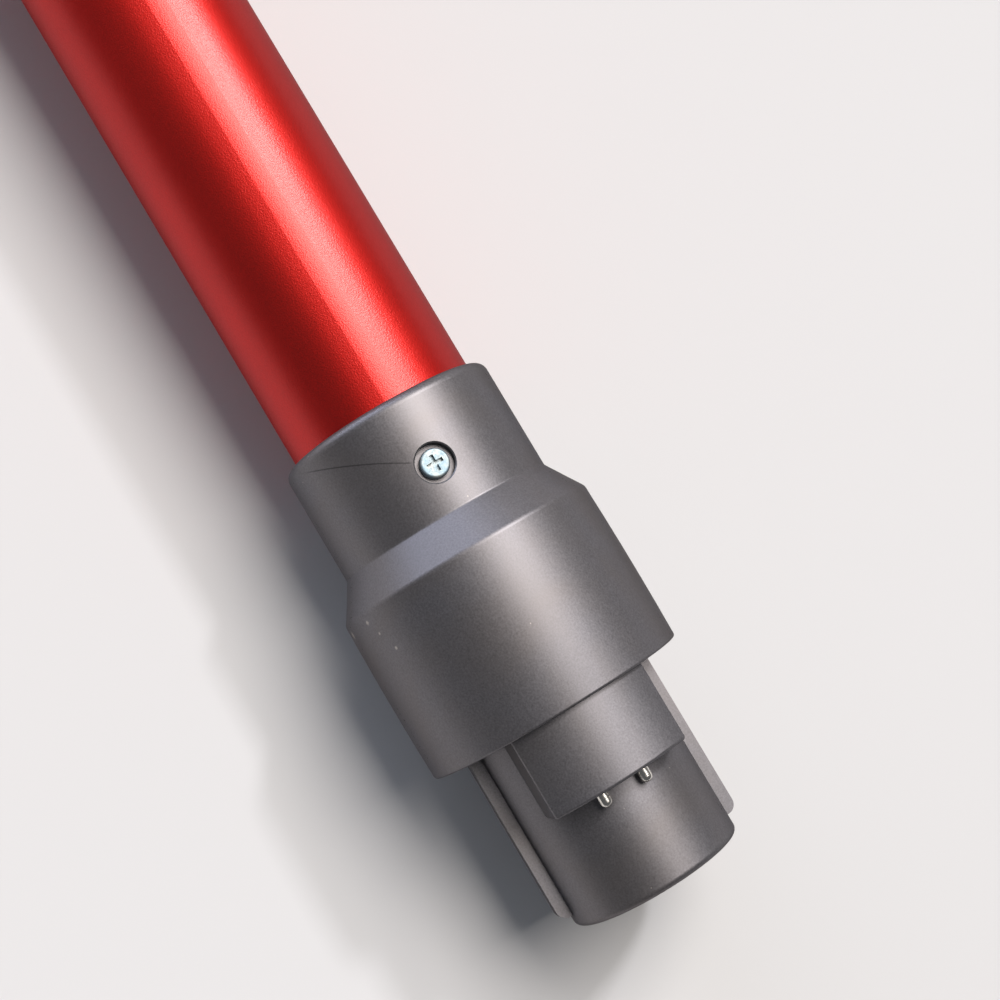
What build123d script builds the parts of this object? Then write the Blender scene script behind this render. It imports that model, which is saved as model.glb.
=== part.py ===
from build123d import *
from math import atan2, degrees, hypot, sqrt
import os

os.makedirs("parts", exist_ok=True)

# Extension wand of a cordless stick vacuum cleaner, in millimetres.
# It lies along X on its two skirts: +X is the machine end, -X the tool end,
# +Z the side of the electrical contacts, and Z = 0 the surface that it rests on.

# Main tube
TUBE_OD = 38.0
TUBE_WALL = 1.2
BARE_TUBE = 552.0  # tube that shows between the collars
TUBE_SEAT = 22.0  # depth of a tube end inside its collar

# Collars: neck round the tube, flare, skirt
NECK_GAP = 0.1
NECK_WALL = 2.8
NECK_LENGTH = 23.4
NECK_EDGE = 2.0
FLARE_RISE = 4.75
FLARE_LENGTH = 7.4
FLARE_WALL = 2.0
FLARE_HOLLOW = 0.8
FLARE_EDGE = 1.6
FLARE_INSET = 0.8  # the hollow inside starts to narrow this far before the flare
UPPER_SKIRT = 33.1
SKIRT_PAST_SEAT = 5.4  # lower skirt, from the socket's seat to the flare
SKIRT_WALL = 1.65
SKIRT_CROWN = 0.2
SKIRT_LEDGE = 0.8  # inner ledge that an inner moulding seats on
RIM_EDGE = 0.5
END_WEB = 2.3  # web that stops the tube's end

# Spigot of the machine end
SLEEVE_GAP = 0.2
SPIGOT_WALL = 2.4
SPIGOT_REACH = 37.2  # past the skirt's rim
SLEEVE_IN_TUBE = 17.0
TIP_EDGE = 1.2
FLANGE_GAP = 0.2
FLANGE_THICK = 2.5
FLANGE_DEPTH = 6.5  # from the skirt's rim to the flange
RIB_HEIGHT = 2.4
RIB_THICK = 3.2
RIB_SETBACK = 2.75  # from the spigot's tip
RIB_CORNER = 2.0
RIB_ROOT = 1.2
LUG_HEIGHT = 1.6
LUG_WIDTH = 8.0
LUG_LENGTH = 5.0
LUG_RAMP = 2.4
LUG_SETBACK = 6.2  # from the spigot's tip

# Wire groove along the top of both inner sleeves
GROOVE_WIDTH = 13.0
GROOVE_DEPTH = 3.4
GROOVE_WALL = 1.6
BOSS_R = 2.9
PILOT_FLOOR = 0.8

# Contact box with its pins
BOX_GAP = 0.5
BOX_WIDTH = 27.8
BOX_REACH = 15.85  # past the skirt's rim
BOX_SEAT = 0.05
BOX_WALL = 1.6
BOX_FRONT = 1.8
BOX_EDGE = 0.6
PIN_D = 2.3
PIN_SPACING = 8.6
PIN_RISE = 1.2  # pin axis above the top of the spigot
PIN_REACH = 3.05
PIN_NOSE_ROUND = 0.9  # share of the pin's radius
PIN_TAIL = 1.5
PIN_FIT = 0.05
CARRIER_LENGTH = 12.0
CARRIER_WIDTH = 18.0
CARRIER_GAP = 0.3

# Screws, one in each neck
SCREW_SETBACK = 14.3  # from the neck's open edge
SCREW_D = 2.9
SCREW_LENGTH = 6.4
SCREW_POINT = 0.6
SCREW_FIT = 0.05
SCREW_CLEARANCE = 0.25
HEAD_D = 5.6
HEAD_HEIGHT = 1.4
HEAD_DOME = 0.5
HEAD_RECESS = 1.8  # counterbore depth
HEAD_GAP = 0.9
HEAD_HOLE_EDGE = 0.25
CROSS_SPAN = 3.2
CROSS_SLOT = 0.75
CROSS_DEPTH = 0.8

# Socket of the tool end, keyed for the same spigot
SOCKET_GAP = 0.25
MOUTH_GAP = 0.45
KEY_GAP = 0.4
KEY_WALL = 1.6
SEAT_GAP = 1.0
SOCKET_WALL = 1.45
SOCKET_INSET = 0.8
SOCKET_FLANGE = 2.4
DEEP_LENGTH = 5.2  # full-round stretch at the bottom of the socket
KEY_LENGTH = 30.0
BULKHEAD = 1.6

# Contacts of the tool end
BLOCK_GAP = 0.1
BLOCK_FRONT_GAP = 0.75
CONTACT_WIDTH = 3.0
CONTACT_THICK = 0.4
CONTACT_BACK_GAP = 2.5  # from a contact's end to the bulkhead
CONTACT_TIP_GAP = 0.2  # to the nose of a tool's pin
CONTACT_FIT = 0.05
CHANNEL_GAP = 0.2

# Wires and their duct
WIRE_D = 1.5
WIRE_BEND = 8.0
WIRE_FLOOR_GAP = 0.25
WIRE_LIFT = 2.4  # over the top of a sleeve, where a wire meets its socket contact
UPPER_DIP_SETBACK = 2.0  # from the flange, where the wires start down into the groove
UPPER_DIP_RUN = 19.0
LOWER_DIP_SETBACK = 1.2  # from the socket's seat
LOWER_DIP_END_GAP = 1.5  # from the dip's end to the collar's web
WIRE_LAP = 3.5  # wire under a contact's end
WIRE_CLEARANCE = 0.25
DUCT_WALL = 0.8
DUCT_GAP = 0.05
DUCT_END_GAP = 0.3

# Release button: a rocker with a catch, a hub and a finger pad
PIVOT_SETBACK = 3.6  # from the socket's seat
PIVOT_GAP = 2.5  # from the socket's wall to the pivot's axis
PIVOT_D = 1.8
PIVOT_FIT = 0.04
HUB_R = 1.8
SPINE_WIDTH = 8.0
ARM_GAP = 0.3
ARM_THICK = 1.8
CATCH_LENGTH = 3.8
CATCH_RAMP = 2.6
CATCH_GAP = 0.1
CATCH_LUG_GAP = 0.6
PAD_SETBACK = 6.3  # from the pivot
PAD_LENGTH = 25.0
PAD_WIDTH = 13.0
PAD_THICK = 1.7
PAD_LIFT = 2.1  # over the neck
PAD_CORNER = 4.0
PAD_EDGE = 0.5
GRIP_GROOVES = 4
GRIP_PITCH = 3.2
GRIP_DEPTH = 0.4
GRIP_WIDTH = 1.2
WINDOW_SETBACK = 0.4  # from the pivot
WINDOW_END_GAP = 0.1
CHEEK_GAP = 0.4
CHEEK_THICK = 3.0
CHEEK_LENGTH = 3.8
CHEEK_ROOT = 0.2  # depth of a cheek's foot in the skirt's wall
RAIL_GAP = 0.5
RAIL_THICK = 1.4
RAIL_HEIGHT = 2.7
RAIL_END = 0.8
PIN_RECESS = 0.2  # from the outside of a cheek to the pivot pin's end

# Button spring
SPRING_SETBACK = 17.5  # from the pad's front end
SPRING_D = 4.4
SPRING_WIRE = 0.45
SPRING_TURNS = 2.5
SPRING_POCKET = 1.4
SPRING_POCKET_GAP = 0.4
SPRING_SEAT_GAP = 0.05
SPRING_BOSS_GAP = 0.3
SPRING_BOSS_HEIGHT = 0.8

# Radii that follow from the sizes above
TUBE_R = TUBE_OD / 2
TUBE_BORE_R = TUBE_R - TUBE_WALL
NECK_BORE_R = TUBE_R + NECK_GAP
NECK_R = NECK_BORE_R + NECK_WALL
SKIRT_R = NECK_R + FLARE_RISE
RIM_R = SKIRT_R - SKIRT_CROWN
CUP_R = SKIRT_R - SKIRT_WALL
LEDGE_R = CUP_R - SKIRT_LEDGE
FLANGE_R = CUP_R - FLANGE_GAP
SPIGOT_R = TUBE_BORE_R - SLEEVE_GAP
AIR_R = SPIGOT_R - SPIGOT_WALL
PIN_Z = SPIGOT_R + PIN_RISE
RIB_R = SPIGOT_R + RIB_HEIGHT
LUG_R = SPIGOT_R + LUG_HEIGHT
BOX_R = CUP_R - BOX_GAP
MOUTH_R = SPIGOT_R + MOUTH_GAP
DEEP_R = SPIGOT_R + SOCKET_GAP
SOCKET_R = DEEP_R + SOCKET_WALL
PIN_R = PIN_D / 2
SCREW_R = SCREW_D / 2
WIRE_R = WIRE_D / 2
WIRE_GROOVE_Z = SPIGOT_R - GROOVE_DEPTH + WIRE_FLOOR_GAP + WIRE_R
WIRE_OVER_Z = SPIGOT_R + WIRE_LIFT
PAD_DROP = NECK_R + PAD_LIFT
PIVOT_DROP = SOCKET_R + PIVOT_GAP
SLOT_HALF = SPINE_WIDTH / 2 + CHEEK_GAP
PILOT_DEPTH = GROOVE_DEPTH + GROOVE_WALL - PILOT_FLOOR
SIDES = (("left", -PIN_SPACING / 2), ("right", PIN_SPACING / 2))

# Stations along X, with the whole wand centred on X = 0
FLANGE_SEAT = FLANGE_DEPTH + FLANGE_THICK
SOCKET_DEPTH = SPIGOT_REACH + SEAT_GAP
SOCKET_SEAT = SOCKET_DEPTH + SPIGOT_WALL
LOWER_SKIRT = SOCKET_SEAT + SKIRT_PAST_SEAT
PIVOT_STATION = SOCKET_SEAT + PIVOT_SETBACK
PAD_START = PIVOT_STATION + PAD_SETBACK
SPRING_STATION = PAD_START + SPRING_SETBACK
COLLAR_BODY = FLARE_LENGTH + NECK_LENGTH
TOTAL = SPIGOT_REACH + UPPER_SKIRT + COLLAR_BODY + BARE_TUBE + COLLAR_BODY + LOWER_SKIRT
UPPER_RIM = TOTAL / 2 - SPIGOT_REACH
LOWER_RIM = -TOTAL / 2


def upper(station):
    """X of a station measured from the machine end's rim into the wand."""
    return UPPER_RIM - station


def lower(station):
    """X of a station measured from the tool end's rim into the wand."""
    return LOWER_RIM + station


UPPER_END = UPPER_SKIRT + COLLAR_BODY
LOWER_END = LOWER_SKIRT + COLLAR_BODY
UPPER_TUBE_END = UPPER_END - TUBE_SEAT
LOWER_TUBE_END = LOWER_END - TUBE_SEAT
UPPER_SLEEVE_END = UPPER_TUBE_END + SLEEVE_IN_TUBE
LOWER_SLEEVE_END = LOWER_TUBE_END + SLEEVE_IN_TUBE
UPPER_SCREW_X = upper(UPPER_END - SCREW_SETBACK)
LOWER_SCREW_X = lower(LOWER_END - SCREW_SETBACK)

# Planes and axis: the wand's axis runs at the skirt's radius above the rest surface
AXIS_Z = SKIRT_R
WAND_AXIS = Axis((0, 0, AXIS_Z), (1, 0, 0))
LEVEL = Plane(origin=(0, 0, AXIS_Z))
SIDE = Plane(origin=(0, 0, AXIS_Z), x_dir=(1, 0, 0), z_dir=(0, -1, 0))


def across(x):
    """Section plane at x: its own x runs along Y and its own y along Z, from the wand's axis."""
    return Plane(origin=(x, 0, AXIS_Z), x_dir=(0, 1, 0), z_dir=(1, 0, 0))


def chord_height(radius, half_width):
    """Height above the axis of a round surface, half_width away from the middle."""
    return sqrt(radius**2 - half_width**2)


def collar_wall(at, skirt, seat):
    """Half section of a collar; at(station) gives X, and seat is where the inner ledge stands."""
    flare_end = skirt + FLARE_LENGTH
    neck_end = flare_end + NECK_LENGTH
    tube_end = neck_end - TUBE_SEAT
    web_face = tube_end - END_WEB
    with BuildSketch(LEVEL) as wall:
        with BuildLine():
            ThreePointArc((at(0), RIM_R), (at(skirt / 2), SKIRT_R), (at(skirt), RIM_R))
            Polyline(
                (at(skirt), RIM_R),
                (at(flare_end), NECK_R),
                (at(neck_end), NECK_R),
                (at(neck_end), NECK_BORE_R),
                (at(tube_end), NECK_BORE_R),
                (at(tube_end), TUBE_BORE_R),
                (at(web_face), TUBE_BORE_R),
                (at(web_face), NECK_R - FLARE_WALL),
                (at(skirt - FLARE_INSET), LEDGE_R),
                (at(seat), LEDGE_R),
                (at(seat), CUP_R),
                (at(0), CUP_R),
                (at(0), RIM_R),
            )
        make_face()
        rounded = (
            (0, RIM_R, RIM_EDGE),
            (skirt, RIM_R, FLARE_EDGE),
            (flare_end, NECK_R, FLARE_HOLLOW),
            (neck_end, NECK_R, NECK_EDGE),
        )
        for station, radius, edge in rounded:
            corner = wall.vertices().sort_by_distance((at(station), radius))[0]
            fillet(corner, edge)
    return wall.sketch


def screw_seat(x):
    """Counterbored hole for a screw, from the crown of the neck down to the wand's hollow."""
    with Locations((x, 0, AXIS_Z + NECK_R)):
        CounterBoreHole(
            SCREW_R + SCREW_CLEARANCE,
            HEAD_D / 2 + HEAD_GAP,
            HEAD_RECESS,
            depth=NECK_R,
        )


def groove_section(x):
    """Section of the wire groove, open to the outside of a sleeve."""
    with BuildSketch(across(x)) as groove:
        with Locations((0, SPIGOT_R - GROOVE_DEPTH)):
            Rectangle(GROOVE_WIDTH, 2 * GROOVE_DEPTH, align=(Align.CENTER, Align.MIN))
    return groove.sketch


def groove_backing_section(x):
    """Section of the thicker wall that carries the wire groove inside a sleeve's bore."""
    with BuildSketch(across(x)) as backing:
        Circle(SPIGOT_R - SPIGOT_WALL / 2)
        with Locations((0, SPIGOT_R - GROOVE_DEPTH - GROOVE_WALL)):
            Rectangle(
                GROOVE_WIDTH + 2 * GROOVE_WALL,
                SPIGOT_R,
                align=(Align.CENTER, Align.MIN),
                mode=Mode.INTERSECT,
            )
    return backing.sketch


def flange_window_section(x):
    """Section of the slot that lets the wires through a flange, above a sleeve."""
    with BuildSketch(across(x)) as window:
        with Locations((0, SPIGOT_R + SLEEVE_GAP)):
            Rectangle(GROOVE_WIDTH, GROOVE_DEPTH, align=(Align.CENTER, Align.MIN))
    return window.sketch


BOSS_FOOT = SPIGOT_R - GROOVE_DEPTH - GROOVE_WALL / 2
BOSS_RISE = chord_height(SPIGOT_R, BOSS_R) - BOSS_FOOT


def screw_boss_section(x):
    """Foot of the round boss in the groove that takes the screw's thread."""
    with BuildSketch(Plane(origin=(x, 0, AXIS_Z + BOSS_FOOT))) as boss:
        Circle(BOSS_R)
    return boss.sketch


# Main tube: drawn aluminium, anodised, with one screw hole near each end
with BuildPart() as main_tube:
    with BuildSketch(across(lower(LOWER_TUBE_END))):
        Circle(TUBE_R)
        Circle(TUBE_BORE_R, mode=Mode.SUBTRACT)
    extrude(amount=upper(UPPER_TUBE_END) - lower(LOWER_TUBE_END))
    with Locations((UPPER_SCREW_X, 0, AXIS_Z + TUBE_R), (LOWER_SCREW_X, 0, AXIS_Z + TUBE_R)):
        Hole(SCREW_R + SCREW_CLEARANCE, depth=TUBE_R)
main_tube.part.label = "main_tube"
export_step(main_tube.part, "parts/main_tube.step")

# Upper collar: neck, flare and hollow skirt of the machine end in one moulding
with BuildPart() as upper_collar:
    revolve(collar_wall(upper, UPPER_SKIRT, FLANGE_SEAT), axis=WAND_AXIS)
    screw_seat(UPPER_SCREW_X)
    crown = AXIS_Z + NECK_R
    hole_edge = upper_collar.edges().filter_by_position(Axis.Z, crown - HEAD_RECESS / 2, crown + HEAD_RECESS)
    chamfer(hole_edge, HEAD_HOLE_EDGE)
upper_collar.part.label = "upper_collar"
export_step(upper_collar.part, "parts/upper_collar.step")

# Spigot: sleeve through the collar, with seat flange, side ribs, catch lug and wire groove
with BuildPart() as spigot:
    tip = -SPIGOT_REACH
    with BuildSketch(LEVEL) as sleeve:
        with BuildLine():
            Polyline(
                (upper(UPPER_SLEEVE_END), AIR_R),
                (upper(UPPER_SLEEVE_END), SPIGOT_R),
                (upper(FLANGE_SEAT), SPIGOT_R),
                (upper(FLANGE_SEAT), FLANGE_R),
                (upper(FLANGE_DEPTH), FLANGE_R),
                (upper(FLANGE_DEPTH), SPIGOT_R),
                (upper(tip), SPIGOT_R),
                (upper(tip), AIR_R),
                close=True,
            )
        make_face()
        fillet(sleeve.vertices().sort_by_distance((upper(tip), SPIGOT_R))[0], TIP_EDGE)
    revolve(axis=WAND_AXIS)
    with BuildSketch(LEVEL) as ribs:
        rib_length = FLANGE_DEPTH + SPIGOT_REACH - RIB_SETBACK
        with Locations((upper(FLANGE_DEPTH), 0)):
            Rectangle(rib_length, 2 * RIB_R, align=(Align.MIN, Align.CENTER))
        fillet(ribs.vertices().sort_by(Axis.X)[-2:], RIB_CORNER)
        with Locations((upper(FLANGE_DEPTH), 0)):
            Rectangle(
                rib_length,
                2 * (SPIGOT_R - RIB_ROOT),
                align=(Align.MIN, Align.CENTER),
                mode=Mode.SUBTRACT,
            )
    extrude(amount=RIB_THICK / 2, both=True)
    with BuildSketch(SIDE):
        lug_front = upper(tip + LUG_SETBACK)
        with BuildLine():
            Polyline(
                (lug_front, -SPIGOT_R + RIB_ROOT),
                (lug_front, -SPIGOT_R),
                (lug_front - LUG_RAMP, -LUG_R),
                (lug_front - LUG_LENGTH, -LUG_R),
                (lug_front - LUG_LENGTH, -SPIGOT_R + RIB_ROOT),
                close=True,
            )
        make_face()
    extrude(amount=LUG_WIDTH / 2, both=True)
    sleeve_x = upper(UPPER_SLEEVE_END)
    groove_length = UPPER_SLEEVE_END - FLANGE_SEAT
    extrude(groove_backing_section(sleeve_x), amount=groove_length)
    extrude(groove_section(sleeve_x), amount=groove_length, mode=Mode.SUBTRACT)
    extrude(flange_window_section(upper(FLANGE_SEAT)), amount=FLANGE_THICK, mode=Mode.SUBTRACT)
    extrude(screw_boss_section(UPPER_SCREW_X), amount=BOSS_RISE)
    with Locations((UPPER_SCREW_X, 0, AXIS_Z + SPIGOT_R)):
        Hole(SCREW_R + SCREW_FIT, depth=PILOT_DEPTH)
spigot.part.label = "spigot"
export_step(spigot.part, "parts/spigot.step")

# Contact box: moulded cover that seats on the spigot and its flange
BOX_LENGTH = FLANGE_DEPTH + BOX_REACH
with BuildPart() as contact_housing:
    with BuildSketch(across(upper(FLANGE_DEPTH))):
        Circle(BOX_R)
        Rectangle(BOX_WIDTH, BOX_R, align=(Align.CENTER, Align.MIN), mode=Mode.INTERSECT)
        Circle(SPIGOT_R + BOX_SEAT, mode=Mode.SUBTRACT)
    extrude(amount=BOX_LENGTH)
    fillet(contact_housing.edges().filter_by(Axis.X).group_by(Axis.Z)[-1], BOX_EDGE)
    front_edges = contact_housing.faces().sort_by(Axis.X)[-1].edges()
    front_middle = Vector(upper(-BOX_REACH), 0, AXIS_Z)
    fillet(front_edges.sort_by(lambda edge: (edge @ 0.5 - front_middle).length)[1:], BOX_EDGE)
    with BuildSketch(across(upper(FLANGE_DEPTH))):
        Circle(BOX_R - BOX_WALL)
        inner_width = BOX_WIDTH - 2 * BOX_WALL
        Rectangle(inner_width, BOX_R, align=(Align.CENTER, Align.MIN), mode=Mode.INTERSECT)
    extrude(amount=BOX_LENGTH - BOX_FRONT, mode=Mode.SUBTRACT)
    with BuildSketch(across(upper(-BOX_REACH))):
        for _, y in SIDES:
            with Locations((y, PIN_Z)):
                Circle(PIN_R + PIN_FIT)
    extrude(amount=-BOX_FRONT, mode=Mode.SUBTRACT)
contact_housing.part.label = "contact_housing"
export_step(contact_housing.part, "parts/contact_housing.step")

# Contact carrier: insulating block behind the box's front wall that grips the pins
CARRIER_FRONT = upper(-BOX_REACH + BOX_FRONT)
with BuildPart() as contact_carrier:
    with BuildSketch(across(CARRIER_FRONT)):
        Circle(BOX_R - BOX_WALL - CARRIER_GAP)
        Rectangle(CARRIER_WIDTH, BOX_R, align=(Align.CENTER, Align.MIN), mode=Mode.INTERSECT)
        Circle(SPIGOT_R + BOX_SEAT, mode=Mode.SUBTRACT)
        for _, y in SIDES:
            with Locations((y, PIN_Z)):
                Circle(PIN_R + PIN_FIT, mode=Mode.SUBTRACT)
    extrude(amount=-CARRIER_LENGTH)
contact_carrier.part.label = "contact_carrier"
export_step(contact_carrier.part, "parts/contact_carrier.step")

# Contact pins: turned and plated, with a round nose, through the carrier and the front wall
PIN_BACK = CARRIER_FRONT - CARRIER_LENGTH - PIN_TAIL
PIN_NOSE = upper(-BOX_REACH - PIN_REACH)
for side, y in SIDES:
    with BuildPart() as contact_pin:
        with BuildSketch(across(PIN_BACK)):
            with Locations((y, PIN_Z)):
                Circle(PIN_R)
        extrude(amount=PIN_NOSE - PIN_BACK)
        nose = contact_pin.faces().sort_by(Axis.X)[-1]
        fillet(nose.edges(), PIN_R * PIN_NOSE_ROUND)
    contact_pin.part.label = f"contact_pin_{side}"
    export_step(contact_pin.part, f"parts/contact_pin_{side}.step")

# Screws: low pan heads with a cross recess, through neck and tube into the sleeve's boss
HEAD_SEAT = AXIS_Z + NECK_R - HEAD_RECESS
for name, x in (("upper_screw", UPPER_SCREW_X), ("lower_screw", LOWER_SCREW_X)):
    with BuildPart() as screw:
        with BuildSketch(Plane(origin=(x, 0, HEAD_SEAT))):
            Circle(HEAD_D / 2)
        extrude(amount=HEAD_HEIGHT)
        fillet(screw.edges().group_by(Axis.Z)[-1], HEAD_DOME)
        with BuildSketch(Plane(origin=(x, 0, HEAD_SEAT + HEAD_HEIGHT))):
            Rectangle(CROSS_SPAN, CROSS_SLOT)
            Rectangle(CROSS_SLOT, CROSS_SPAN)
        extrude(amount=-CROSS_DEPTH, mode=Mode.SUBTRACT)
        with BuildSketch(Plane(origin=(x, 0, HEAD_SEAT))):
            Circle(SCREW_R)
        extrude(amount=-SCREW_LENGTH)
        chamfer(screw.edges().group_by(Axis.Z)[0], SCREW_POINT)
    screw.part.label = name
    export_step(screw.part, f"parts/{name}.step")

# Socket: liner of the tool end, with key slots for a spigot's box, ribs and lug
KEY_HALF = BOX_WIDTH / 2 + KEY_GAP
SOCKET_FACE = lower(SOCKET_INSET)
with BuildPart() as socket:
    with BuildSketch(LEVEL):
        with BuildLine():
            Polyline(
                (SOCKET_FACE, MOUTH_R),
                (lower(SOCKET_DEPTH - DEEP_LENGTH), MOUTH_R),
                (lower(SOCKET_DEPTH - DEEP_LENGTH), DEEP_R),
                (lower(SOCKET_DEPTH), DEEP_R),
                (lower(SOCKET_DEPTH), AIR_R),
                (lower(LOWER_SLEEVE_END), AIR_R),
                (lower(LOWER_SLEEVE_END), SPIGOT_R),
                (lower(SOCKET_SEAT), SPIGOT_R),
                (lower(SOCKET_SEAT), FLANGE_R),
                (lower(SOCKET_DEPTH), FLANGE_R),
                (lower(SOCKET_DEPTH), SOCKET_R),
                (SOCKET_FACE + SOCKET_FLANGE, SOCKET_R),
                (SOCKET_FACE + SOCKET_FLANGE, FLANGE_R),
                (SOCKET_FACE, FLANGE_R),
                close=True,
            )
        make_face()
    revolve(axis=WAND_AXIS)
    # Walls and bulkhead of the box's key slot
    with BuildSketch(across(SOCKET_FACE)):
        Circle(FLANGE_R)
        key_floor = chord_height(MOUTH_R, KEY_HALF)
        with Locations((0, key_floor - KEY_WALL)):
            Rectangle(
                2 * (KEY_HALF + KEY_WALL),
                FLANGE_R,
                align=(Align.CENTER, Align.MIN),
                mode=Mode.INTERSECT,
            )
        Circle(MOUTH_R, mode=Mode.SUBTRACT)
    extrude(amount=KEY_LENGTH - SOCKET_INSET + BULKHEAD)
    # Walls of the side ribs' slots
    rib_slot_end = SPIGOT_REACH - RIB_SETBACK + SEAT_GAP
    with BuildSketch(across(SOCKET_FACE)):
        slot_wall_r = RIB_R + KEY_GAP + KEY_WALL
        Rectangle(2 * slot_wall_r, RIB_THICK + 2 * (KEY_GAP + KEY_WALL))
        Circle(MOUTH_R, mode=Mode.SUBTRACT)
    extrude(amount=rib_slot_end + KEY_WALL - SOCKET_INSET)
    # Slots for the box, the ribs and the lug
    with BuildSketch(across(SOCKET_FACE)):
        with Locations((0, key_floor)):
            Rectangle(2 * KEY_HALF, FLANGE_R, align=(Align.CENTER, Align.MIN))
    extrude(amount=KEY_LENGTH - SOCKET_INSET, mode=Mode.SUBTRACT)
    with BuildSketch(across(SOCKET_FACE)):
        Rectangle(2 * (RIB_R + KEY_GAP), RIB_THICK + 2 * KEY_GAP)
    extrude(amount=rib_slot_end - SOCKET_INSET, mode=Mode.SUBTRACT)
    lug_slot_end = SPIGOT_REACH - LUG_SETBACK + SEAT_GAP
    with BuildSketch(across(SOCKET_FACE)):
        Rectangle(LUG_WIDTH + 2 * KEY_GAP, LUG_R + KEY_GAP, align=(Align.CENTER, Align.MAX))
    extrude(amount=lug_slot_end - SOCKET_INSET, mode=Mode.SUBTRACT)
    # Notch in the rear flange for the button's arm
    with BuildSketch(across(lower(SOCKET_DEPTH))):
        with Locations((0, -SOCKET_R)):
            Rectangle(2 * SLOT_HALF, FLANGE_R, align=(Align.CENTER, Align.MAX))
    extrude(amount=SOCKET_SEAT - SOCKET_DEPTH, mode=Mode.SUBTRACT)
    # Wire holes in the bulkhead, window in the rear flange, groove along the sleeve
    with BuildSketch(across(lower(KEY_LENGTH))):
        for _, y in SIDES:
            with Locations((y, WIRE_OVER_Z)):
                Circle(WIRE_R + WIRE_CLEARANCE)
    extrude(amount=BULKHEAD, mode=Mode.SUBTRACT)
    extrude(
        flange_window_section(lower(SOCKET_DEPTH)),
        amount=SOCKET_SEAT - SOCKET_DEPTH,
        mode=Mode.SUBTRACT,
    )
    groove_length = LOWER_SLEEVE_END - SOCKET_SEAT
    extrude(groove_backing_section(lower(SOCKET_SEAT)), amount=groove_length)
    extrude(groove_section(lower(SOCKET_SEAT)), amount=groove_length, mode=Mode.SUBTRACT)
    extrude(screw_boss_section(LOWER_SCREW_X), amount=BOSS_RISE)
    with Locations((LOWER_SCREW_X, 0, AXIS_Z + SPIGOT_R)):
        Hole(SCREW_R + SCREW_FIT, depth=PILOT_DEPTH)
socket.part.label = "socket"
export_step(socket.part, "parts/socket.step")

# Contact block: insulating block that fills the back of the box's key slot
BLOCK_FACE = BOX_REACH + BLOCK_FRONT_GAP
CONTACT_TOP = WIRE_OVER_Z + WIRE_R + CONTACT_FIT + CONTACT_THICK
with BuildPart() as socket_contact_block:
    with BuildSketch(across(lower(BLOCK_FACE))):
        Circle(FLANGE_R - BLOCK_GAP)
        with Locations((0, key_floor + BLOCK_GAP)):
            Rectangle(
                2 * (KEY_HALF - BLOCK_GAP),
                FLANGE_R,
                align=(Align.CENTER, Align.MIN),
                mode=Mode.INTERSECT,
            )
        Circle(MOUTH_R + BLOCK_GAP, mode=Mode.SUBTRACT)
        for _, y in SIDES:
            with Locations((y, CONTACT_TOP + CONTACT_FIT)):
                Rectangle(
                    CONTACT_WIDTH + 2 * CHANNEL_GAP,
                    MOUTH_R,
                    align=(Align.CENTER, Align.MAX),
                    mode=Mode.SUBTRACT,
                )
    extrude(amount=KEY_LENGTH - BLOCK_GAP - BLOCK_FACE)
socket_contact_block.part.label = "socket_contact_block"
export_step(socket_contact_block.part, "parts/socket_contact_block.step")

# Socket contacts: stamped strips with a leaf bent down in front of a tool's pins
LEAF_STATION = BOX_REACH + PIN_REACH + CONTACT_TIP_GAP
CONTACT_END = KEY_LENGTH - CONTACT_BACK_GAP
for side, y in SIDES:
    with BuildPart() as socket_contact:
        with BuildSketch(Plane(origin=(0, y, AXIS_Z), x_dir=(1, 0, 0), z_dir=(0, -1, 0))):
            with BuildLine():
                Polyline(
                    (lower(LEAF_STATION), PIN_Z - PIN_R / 2),
                    (lower(LEAF_STATION), CONTACT_TOP),
                    (lower(CONTACT_END), CONTACT_TOP),
                    (lower(CONTACT_END), CONTACT_TOP - CONTACT_THICK),
                    (lower(LEAF_STATION + CONTACT_THICK), CONTACT_TOP - CONTACT_THICK),
                    (lower(LEAF_STATION + CONTACT_THICK), PIN_Z - PIN_R / 2),
                    close=True,
                )
            make_face()
        extrude(amount=CONTACT_WIDTH / 2, both=True)
    socket_contact.part.label = f"socket_contact_{side}"
    export_step(socket_contact.part, f"parts/socket_contact_{side}.step")

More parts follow.
